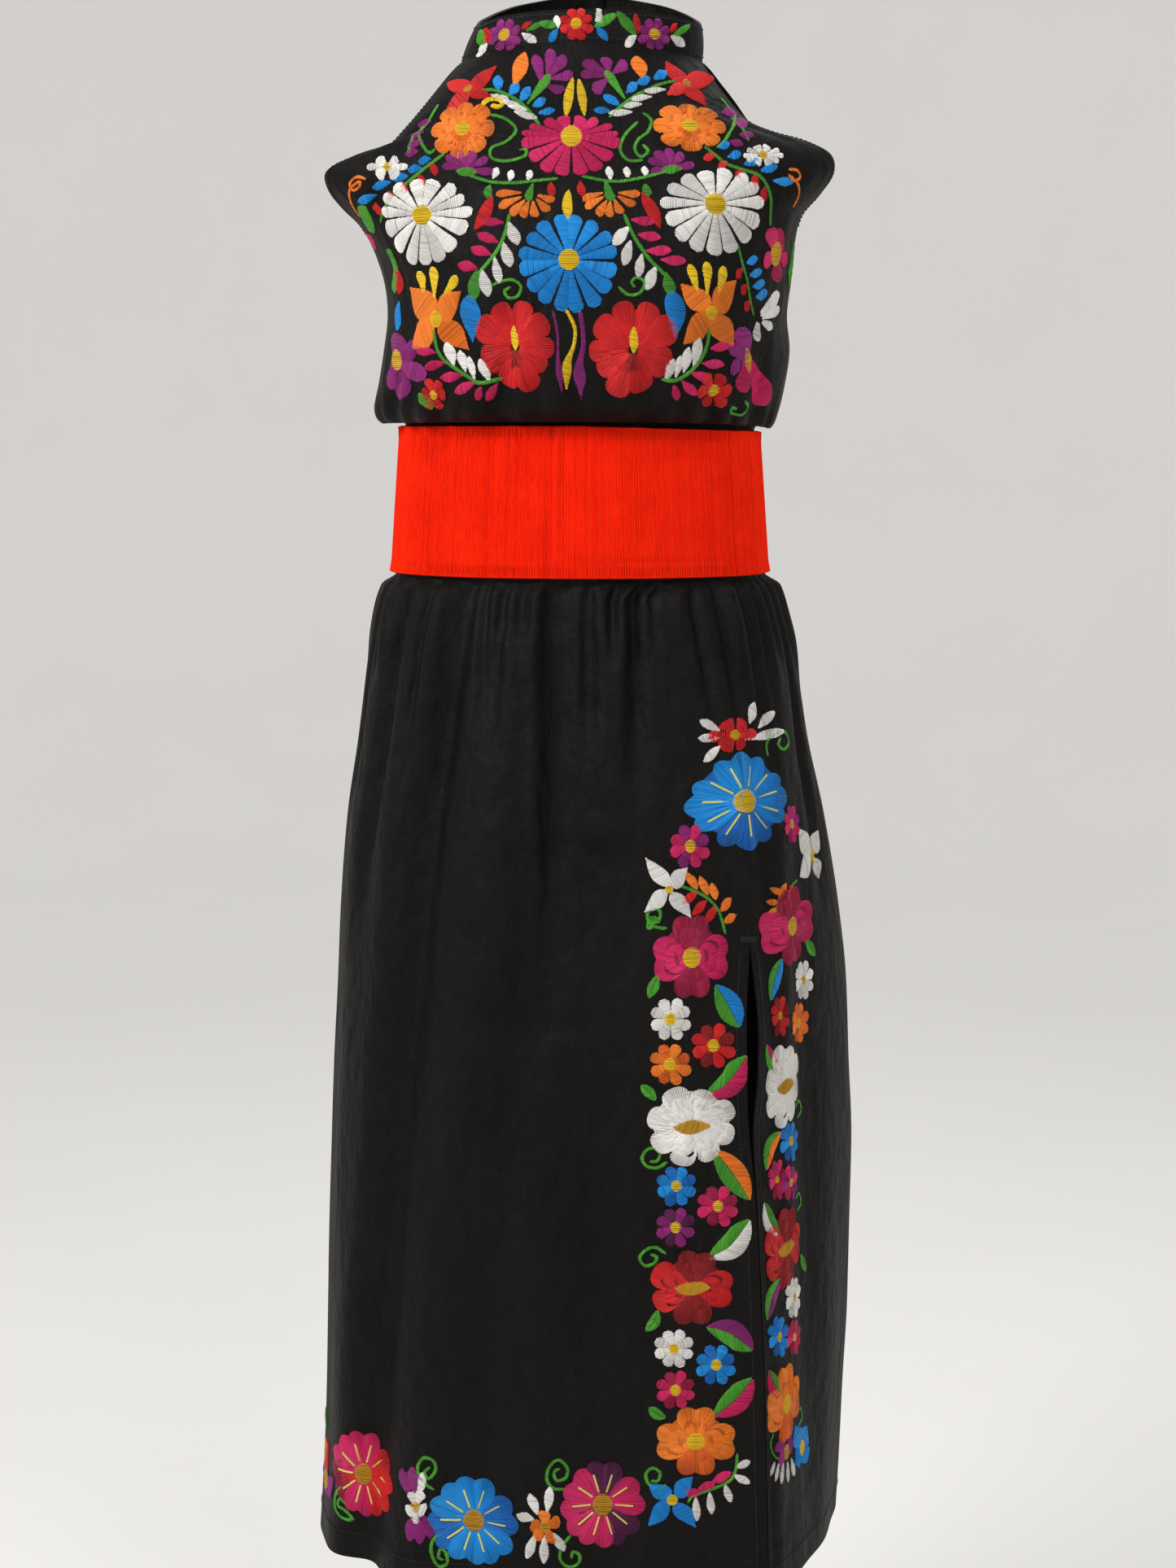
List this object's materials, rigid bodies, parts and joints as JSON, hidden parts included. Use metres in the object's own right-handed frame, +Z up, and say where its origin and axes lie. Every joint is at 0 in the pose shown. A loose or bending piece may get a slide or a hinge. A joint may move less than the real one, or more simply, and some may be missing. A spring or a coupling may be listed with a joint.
{
  "type": "embroidered halter dress",
  "caption": "Black halter dress with a stand collar, bloused embroidered bodice, wide orange elastic belt and a long gathered skirt with a side-front slit.",
  "frame": {"origin": "the middle of the neck opening, level with the front of the collar seam, where a wearer's neck holds the dress", "axes": "+Z up along the wearer, the front faces -Y, the wearer's left side is +X"},
  "size_m": [0.4182, 0.289, 1.1809],
  "materials": {
    "black_cotton": "matt woven cotton with a fine crinkle, satin-stitched in bright thread",
    "black_button": "polished four-hole button",
    "orange_elastic": "ribbed woven elastic, slightly fuzzy"
  },
  "bodies": {
    "root": {"collar_band": "black_cotton", "collar_button": "black_button", "bodice_front": "black_cotton", "bodice_back": "black_cotton", "belt": "orange_elastic", "skirt_front": "black_cotton", "skirt_side_front": "black_cotton", "skirt_back": "black_cotton"}
  },
  "joints": []
}
